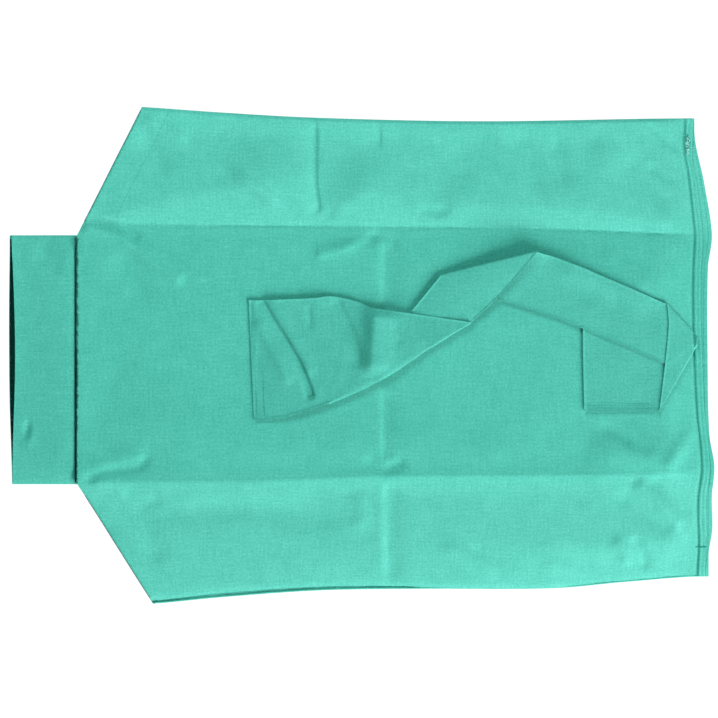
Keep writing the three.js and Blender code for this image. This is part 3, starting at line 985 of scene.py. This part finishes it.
# The belt's panels in order along it. Each line across the belt has its a and b edge points in
# millimetres from the belt's highest corner, the last number being the height above the gown.
BELT_PANELS = [
    [
        ((-401, -66, 1.1), (-393.5, -234.5, 1.1)),
        ((-384, -66.5, 3.0), (-376.5, -233.5, 2.0)),
        ((-345, -65, 5.0), (-352, -229.5, 4.0)),
        ((-310, -63.5, 5.0), (-327, -222.5, 5.4)),
        ((-284, -61, 4.2), (-310, -216.5, 5.8)),
        ((-250, -68, 4.4), (-300, -213, 6.0)),
        ((-228, -77.5, 4.8), (-295, -211, 6.4)),
        ((-177, -84.5, 4.6), (-292, -210, 6.6)),
        ((-91.5, -97, 7.0), (-290, -209, 6.8)),
    ],
    [
        ((-91.5, -97, 4.6), (-290, -209, 3.6)),
        ((-55, -63.5, 7.0), (-215, -130, 2.0)),
        ((0, 0, 17.5), (-134.5, -33.4, 5.2)),
    ],
    [
        ((0, 0, 15.2), (-134.5, -33.4, 2.4)),
        ((22, -6, 10), (-56, -64.2, 3.6)),
        ((60, -20, 6), (31.7, -92.4, 3.6)),
        ((110, -41, 3.4), (100, -121, 3.8)),
        ((160, -62.7, 2.9), (165, -148.3, 3.6)),
        ((175, -69.2, 2.9), (178.8, -153.9, 3.4)),
        ((181.5, -71.5, 3.2), (224.5, -118.5, 3.6)),
    ],
    [
        ((181.5, -71.5, 4.3), (224.5, -118.5, 5.8)),
        ((184, -99, 3.9), (224.3, -121, 5.8)),
        ((179.5, -150, 4.1), (224, -124, 5.8)),
        ((177, -172, 2.9), (223.8, -126, 5.7)),
        ((171, -219.5, 2.7), (223.6, -127, 5.6)),
    ],
    [
        ((171, -219.5, 2.4), (223.6, -127, 2.4)),
        ((170.6, -220.2, 1.6), (186, -94, 1.6)),
        ((170.4, -220.4, 1.6), (120, -68, 1.6)),
        ((170.3, -220.6, 1.6), (64.5, -85, 1.8)),
        ((170.2, -220.8, 1.6), (65, -150, 1.8)),
        ((170, -221, 1.6), (66.5, -221.6, 1.6)),
    ],
]
BELT_CLOTH_THICK = 0.9 * MM
BELT_WRINKLES = [
    Wrinkle(
        [(-384, -66), (-366.5, -96), (-349.5, -122), (-331.5, -152), (-321.5, -175), (-311, -204)],
        -2.2, 4.2, 6, lean=-0.3
    ),
    Wrinkle([(-374, -60), (-356, -90), (-339, -118), (-321, -148), (-312, -175)], 0.45, 8, 14),
    Wrinkle([(-392, -90), (-374, -126), (-356, -156), (-342, -186)], 0.45, 8, 14),
    Wrinkle([(-282, -58), (-266, -90), (-252, -122), (-244, -164)], -0.55, 11, 14, lean=-0.5),
    Wrinkle([(-225, -70), (-225.5, -110), (-230, -176)], 2.1, 20, 22, lean=0.42),
    Wrinkle([(-262, -170), (-225, -196)], 0.15, 9, 14),
    Wrinkle([(-200, -96), (-190, -132)], -0.3, 6, 10),
    Wrinkle([(-318, -70), (-314, -110)], -0.3, 5, 10),
    Wrinkle([(-160, -120), (-150, -150)], -0.25, 9, 14),
]
FOLD_BOWS = [0, 7.0 * MM, 0.6 * MM, 0.5 * MM, 0.4 * MM]
EDGE_RIDGE = 0.9 * MM
BELT_SHARES = [0, 0.006, 0.012, 0.02, 0.03]
BELT_SHARES += [0.03 + 0.94 * k / 56 for k in range(1, 56)]
BELT_SHARES += [0.97, 0.98, 0.988, 0.994, 1]


def belt_section(line):
    (ax, ay, az), (bx, by, bz) = line
    return [ax, ay, az, bx, by, bz]


def panel_sections(panel, step):
    """Lines across one panel of the belt, about a step apart, on smooth edges."""
    rungs = [belt_section(line) for line in panel]
    sections = []
    for i in range(len(rungs) - 1):
        p0 = rungs[max(i - 1, 0)]
        p1, p2 = rungs[i], rungs[i + 1]
        p3 = rungs[min(i + 2, len(rungs) - 1)]
        far = max(math.dist(p1[:2], p2[:2]), math.dist(p1[3:5], p2[3:5]))
        count = max(2, round(far / step))
        for k in range(count):
            t = k / count
            section = []
            for c0, c1, c2, c3 in zip(p0, p1, p2, p3):
                m1, m2 = (c2 - c0) / 2, (c3 - c1) / 2
                limit = abs(c2 - c1)
                m1 = max(-limit, min(limit, m1))
                m2 = max(-limit, min(limit, m2))
                section.append(
                    c1 * (2 * t**3 - 3 * t**2 + 1)
                    + m1 * (t**3 - 2 * t**2 + t)
                    + c2 * (3 * t**2 - 2 * t**3)
                    + m2 * (t**3 - t**2)
                )
            sections.append(section)
    sections.append(rungs[-1])
    return sections


def belt_point(section, share):
    x = mix(section[0], section[3], share) * MM + BELT_CORNER.x
    y = mix(section[1], section[4], share) * MM + BELT_CORNER.y
    z = mix(section[2], section[5], share) * MM
    return Vector((x, y, z))


def gown_under_belt(x, y):
    """The front's height, with y kept between the left and right folds, for what lies on it."""
    y = min(max(y, RIGHT_FOLD), LEFT_FOLD)
    return front_height(x, y)


def hem_relief(inside, rows, depth):
    """The rise of a turned and stitched end at a distance inside it, with grooves at its rows."""
    rise = 0.55 * MM * smooth(depth + 0.6, depth - 0.6, inside)
    rise += 0.6 * MM * math.exp(-((inside / 2.0) ** 2))
    for row in rows:
        rise -= 0.45 * MM * math.exp(-(((inside - row) / 1.1) ** 2))
    return rise


def belt():
    """The whole belt as one strip: flat panels joined by folds that turn under or over."""
    strip = []
    for number, panel in enumerate(BELT_PANELS):
        sections = panel_sections(panel, 1.6 if number == 0 else 2.8)
        laid = []
        for section in sections:
            line = []
            for share in BELT_SHARES:
                p = belt_point(section, share)
                local = ((p.x - BELT_CORNER.x) / MM, (p.y - BELT_CORNER.y) / MM)
                rise = p.z
                if number == 0:
                    wrinkled = sum(w.at(local[0] * MM, local[1] * MM) for w in BELT_WRINKLES)
                    rise = max(rise + wrinkled, 0.8 * MM)
                if number == 0:
                    rise += hem_relief(local[0] + 401 - (local[1] + 66) * 0.0445, (5.0, 15.5), 17.0)
                if number == 4:
                    rise += hem_relief(local[1] + 221.6, (5.0, 8.5), 11.0)
                width = math.dist(section[:2], section[3:5]) * MM
                rise += EDGE_RIDGE * math.exp(-((min(share, 1 - share) * width / (2.2 * MM)) ** 2))
                rise += puffs(p.x, p.y, 34 * MM, 0.5 * MM, 20.0 + number)
                line.append(Vector((p.x, p.y, gown_under_belt(p.x, p.y) + rise)))
            laid.append(line)
        if number:
            strip += belt_fold(strip[-1], laid[0], strip[-3], FOLD_BOWS[number])
        strip += laid
    vertices, uvs = [], []
    for line in strip:
        for p in line:
            vertices.append(p)
            uvs.append((p.x, p.y + 0.4 * p.z))
    across = len(BELT_SHARES)
    faces = []
    for i in range(len(strip) - 1):
        for k in range(across - 1):
            a, b = i * across + k, (i + 1) * across + k
            faces.append((a, a + 1, b + 1, b))
    piece = mesh_object("belt_cloth", vertices, faces, BELT_CLOTH, uvs)
    thicken(piece, BELT_CLOTH_THICK, 0.0)
    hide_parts("waist_belt", "belt_hem_left", "belt_hem_right")
    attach(piece, "belt")
    return piece


def belt_fold(last, first, before, bow):
    """Lines round a fold, from the end of one panel to the start of the next, bulging past it."""
    steps = 7
    lines = []
    for step in range(1, steps):
        t = step / steps
        line = []
        outward = fold_outward(last, before)
        for share, p, q in zip(BELT_SHARES, last, first):
            radius = abs(q.z - p.z) / 2
            angle = math.pi * t
            middle = p.lerp(q, 0.5)
            z = mix(p.z, q.z, 0.5 - 0.5 * math.cos(angle))
            bulge = (min(radius, 2.2 * MM) + bow * math.sin(math.pi * share**1.7)) * math.sin(angle)
            line.append(Vector((middle.x, middle.y, z)) + outward * bulge)
        lines.append(line)
    return lines


def fold_outward(last, before):
    """The level direction that points out of a fold, square to its line."""
    line = last[-1] - last[0]
    square = Vector((line.y, -line.x, 0)).normalized()
    middle = len(last) // 2
    travel = last[middle] - before[middle]
    return square if square.dot(travel) > 0 else -square


belt()


def belt_stitches():
    """Rows of stitches across both of the belt's turned ends."""

    def end_row(start, end, rise):
        a = Vector((start[0] * MM + BELT_CORNER.x, start[1] * MM + BELT_CORNER.y))
        b = Vector((end[0] * MM + BELT_CORNER.x, end[1] * MM + BELT_CORNER.y))
        return running_stitches([a, b], lambda x, y: gown_under_belt(x, y) + rise)

    top = BELT_CLOTH_THICK / 2 + 0.12 * MM
    left_end = []
    for inside, rise in ((5.0, 1.9 * MM), (15.5, 2.5 * MM)):
        left_end += end_row((-401 + inside, -68.5), (-393.5 + inside, -232), rise + top - 0.25 * MM)
    right_end = []
    for inside in (5.0, 8.5):
        right_end += end_row((69, -221.6 + inside), (168, -221.2 + inside), 1.6 * MM + top + 0.25 * MM)
    for name, runs in (("belt_stitches_left_end", left_end), ("belt_stitches_right_end", right_end)):
        piece = threads_object(name, runs, THREAD, STITCH_THREAD)
        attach(piece, "belt")


belt_stitches()


# ---------------------------------------------------------------- stage, light and camera

def stage_floor():
    bpy.ops.object.select_all(action="DESELECT")
    bpy.ops.mesh.primitive_plane_add(size=12, location=(0, 0, -0.4 * MM))
    floor = bpy.context.object
    floor.name = "floor"
    material = bpy.data.materials.new("floor")
    material.use_nodes = True
    shader = material.node_tree.nodes["Principled BSDF"]
    shader.inputs["Base Color"].default_value = (0.15, 0.15, 0.15, 1)
    shader.inputs["Roughness"].default_value = 0.9
    shader.inputs["Specular IOR Level"].default_value = 0.0
    shader.inputs["Emission Color"].default_value = (1, 1, 1, 1)
    shader.inputs["Emission Strength"].default_value = 0.95
    floor.data.materials.append(material)


def area_light(name, place, power, size, colour=(1, 1, 1)):
    data = bpy.data.lights.new(name, "AREA")
    data.energy = power
    data.size = size
    data.color = colour
    light = bpy.data.objects.new(name, data)
    light.location = place
    light.rotation_euler = (-Vector(place)).to_track_quat("-Z", "Y").to_euler()
    bpy.context.scene.collection.objects.link(light)


def lights_and_camera():
    area_light("key", (2.7, -3.3, 1.85), 418, 2.9)
    area_light("fill", (-0.8, 2.1, 1.5), 47, 1.0, (0.85, 1.0, 0.98))
    world = bpy.data.worlds.new("studio")
    bpy.context.scene.world = world
    world.use_nodes = True
    nodes, links = world.node_tree.nodes, world.node_tree.links
    ambient = nodes["Background"]
    ambient.inputs["Color"].default_value = (0.10, 1.0, 0.93, 1)
    ambient.inputs["Strength"].default_value = 0.21
    backdrop = nodes.new("ShaderNodeBackground")
    backdrop.inputs["Color"].default_value = (0.95, 0.95, 0.95, 1)
    choose = nodes.new("ShaderNodeMixShader")
    links.new(nodes.new("ShaderNodeLightPath").outputs["Is Camera Ray"], choose.inputs["Fac"])
    links.new(ambient.outputs["Background"], choose.inputs[1])
    links.new(backdrop.outputs["Background"], choose.inputs[2])
    links.new(choose.outputs["Shader"], nodes["World Output"].inputs["Surface"])
    data = bpy.data.cameras.new("camera")
    data.sensor_width = 36
    distance = 2.5
    data.lens = 36 * distance / 1.005
    camera = bpy.data.objects.new("camera", data)
    camera.location = (-3.7 * MM, -5.2 * MM, distance)
    camera.rotation_euler = (0, 0, 0)
    bpy.context.scene.collection.objects.link(camera)
    bpy.context.scene.camera = camera
    bpy.context.scene.view_settings.view_transform = "Standard"


stage_floor()
lights_and_camera()
